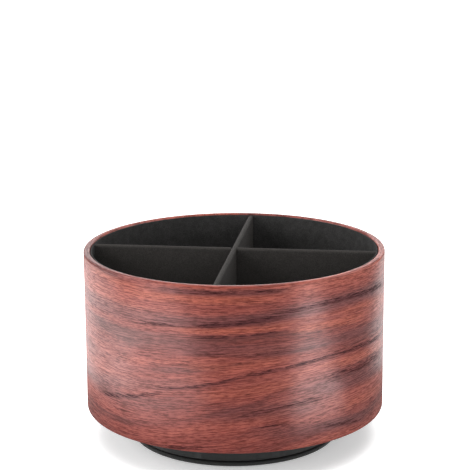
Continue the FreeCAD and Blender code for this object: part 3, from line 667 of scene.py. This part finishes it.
for node, name, body in [("turntable_top", "turntable_upper_shell", "tub"),
                         ("turntable_base", "turntable_lower_plate", "turntable_base"),
                         ("hub_cap", "pivot_cap", "turntable_base")]:
    # the rounded edges stay out of the smooth side's shading
    finish_piece(copy_of(node, name), body, moulded_black, [node],
                 smooth_below=20)
for number in range(1, 5):
    finish_piece(copy_of(f"rubber_foot_{number}", f"rubber_foot_pad_{number}"), "turntable_base",
                 rubber, [f"rubber_foot_{number}"])

for node, material in [
        ("wall_board", board), ("floor_board", board), ("long_divider_board", board),
        ("cross_divider_board", board), ("ball_cage", nylon), ("bearing_balls", ball_steel),
        ("pivot_screw", steel), ("pivot_washer", steel), ("mounting_screws", steel)]:
    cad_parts[node].data.materials.clear()
    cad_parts[node].data.materials.append(material)


# ---- floor, light and camera ----

FLOOR_SIZE = 8
UNDER_TUB, BESIDE_TUB = 0.066, 0.090            # distances from the axis on the floor
SHADOW_END, PAPER_WHITE = 0.11, 0.40
# the floor's glow dims towards the tub, a painted shadow under and beside it
PAINTED_SHADOW_GLOW_UNDER, GLOW_BESIDE, GLOW_ADDED = 0.34, 0.82, 0.18
WORLD_LIGHT, WORLD_SEEN = 0.5, 1.0
LAMPS_AIM = Vector((0, 0, 0.06))                # a point on the tub's axis
CARD_NEAR, CARD_FAR = 0.15, 0.65                # from the axis to a card's ends
CARD_HEIGHT = 1 * MM


def make_floor():
    """White paper that glows to plain white away from the tub, and keeps its shadow; its glow is
    dimmed under and beside the tub as a painted shadow.
    """
    bpy.ops.object.select_all(action="DESELECT")
    bpy.ops.mesh.primitive_plane_add(size=FLOOR_SIZE, location=(0, 0, 0))
    floor = bpy.context.object
    floor.name = "studio_floor"
    material, tree, shader, place = new_material("studio white", Roughness=1.0,
                                                 Specular_IOR_Level=0.0)
    far = add_node(tree, "ShaderNodeVectorMath", {0: place}, operation="LENGTH").outputs["Value"]
    paper = blend_colours(tree, noise(tree, place, 3), (0.86, 0.86, 0.86, 1), (0.88, 0.88, 0.88, 1))
    tree.links.new(paper, shader.inputs["Base Color"])
    seen = add_node(tree, "ShaderNodeLightPath").outputs
    # painted shadow: the glow is dimmest under the tub and rises beside it
    painted_shadow_glow = remap(tree, far, UNDER_TUB, BESIDE_TUB, PAINTED_SHADOW_GLOW_UNDER, GLOW_BESIDE)
    glow = maths(tree, "ADD", painted_shadow_glow, remap(tree, far, SHADOW_END, PAPER_WHITE, 0, GLOW_ADDED))
    direct = maths(tree, "MAXIMUM", seen["Is Camera Ray"], seen["Is Glossy Ray"])
    tree.links.new(maths(tree, "MULTIPLY", glow, direct), shader.inputs["Emission Strength"])
    shader.inputs["Emission Color"].default_value = (1, 1, 1, 1)
    floor.data.materials.append(material)


def add_softbox(name, azimuth, distance, height, width, tall, watts, only_gloss=False):
    """A rectangular lamp that faces the tub, or one that shows only in its gloss."""
    bpy.ops.object.select_all(action="DESELECT")
    angle = math.radians(azimuth)
    place = Vector((distance * math.cos(angle), distance * math.sin(angle), height))
    bpy.ops.object.light_add(type="AREA", location=place)
    lamp = bpy.context.object
    lamp.name = name
    lamp.rotation_euler = (LAMPS_AIM - place).to_track_quat("-Z", "Y").to_euler()
    lamp.data.shape = "RECTANGLE"
    lamp.data.size, lamp.data.size_y = width, tall
    lamp.data.energy = watts
    lamp.visible_camera = lamp.visible_diffuse = not only_gloss


def add_card(name, azimuth, width, brightness):
    """A glowing card flat on the floor that shows only as a highlight in the tub's side."""
    bpy.ops.object.select_all(action="DESELECT")
    angle = math.radians(azimuth)
    middle, length = (CARD_NEAR + CARD_FAR) / 2, CARD_FAR - CARD_NEAR
    bpy.ops.object.light_add(
        type="AREA", rotation=(HALF_TURN, 0, angle),
        location=(middle * math.cos(angle), middle * math.sin(angle), CARD_HEIGHT))
    card = bpy.context.object
    card.name = name
    card.data.shape = "RECTANGLE"
    card.data.size, card.data.size_y = length, width
    card.data.energy = brightness * math.pi * length * width
    card.visible_camera = card.visible_diffuse = False


def make_world():
    """Even light from all round, seen and mirrored as white."""
    world = bpy.data.worlds.new("white studio")
    bpy.context.scene.world = world
    world.use_nodes = True
    tree = world.node_tree
    seen = add_node(tree, "ShaderNodeLightPath").outputs
    direct = maths(tree, "MAXIMUM", seen["Is Camera Ray"], seen["Is Glossy Ray"])
    strength = remap(tree, direct, 0, 1, WORLD_LIGHT, WORLD_SEEN)
    back = tree.nodes["Background"]
    back.inputs["Color"].default_value = (1, 1, 1, 1)
    tree.links.new(strength, back.inputs["Strength"])


make_floor()
make_world()
add_softbox("softbox_left", -150, 1.1, 0.5, 0.8, 0.8, 11)
add_softbox("softbox_right", -30, 1.1, 0.5, 0.8, 0.8, 5)
add_softbox("softbox_overhead", 90, 0.2, 1.2, 1.2, 1.2, 12)
add_softbox("sheen_back", 97, 2.0, 0.55, 2.6, 0.8, 50, only_gloss=True)
add_softbox("sheen_left", 172, 1.3, 0.9, 1.4, 1.0, 24, only_gloss=True)
add_softbox("sheen_right", 22, 1.3, 0.9, 1.4, 1.0, 24, only_gloss=True)
add_card("card_left", -137, 0.26, 7.5)
add_card("card_far_left", 160, 0.40, 6.5)
add_card("card_right", -31, 0.11, 12.5)
add_card("card_far_right", 62, 0.26, 5.5)

bpy.ops.object.camera_add(
    location=(0.10425, -0.80742, 0.30844),
    rotation=(math.radians(76.194), math.radians(0.309), math.radians(7.246)))
camera = bpy.context.object
camera.name = "studio_camera"
camera.data.lens = 122.326
camera.data.sensor_width = 36
bpy.context.scene.camera = camera
bpy.context.scene.view_settings.view_transform = "Standard"
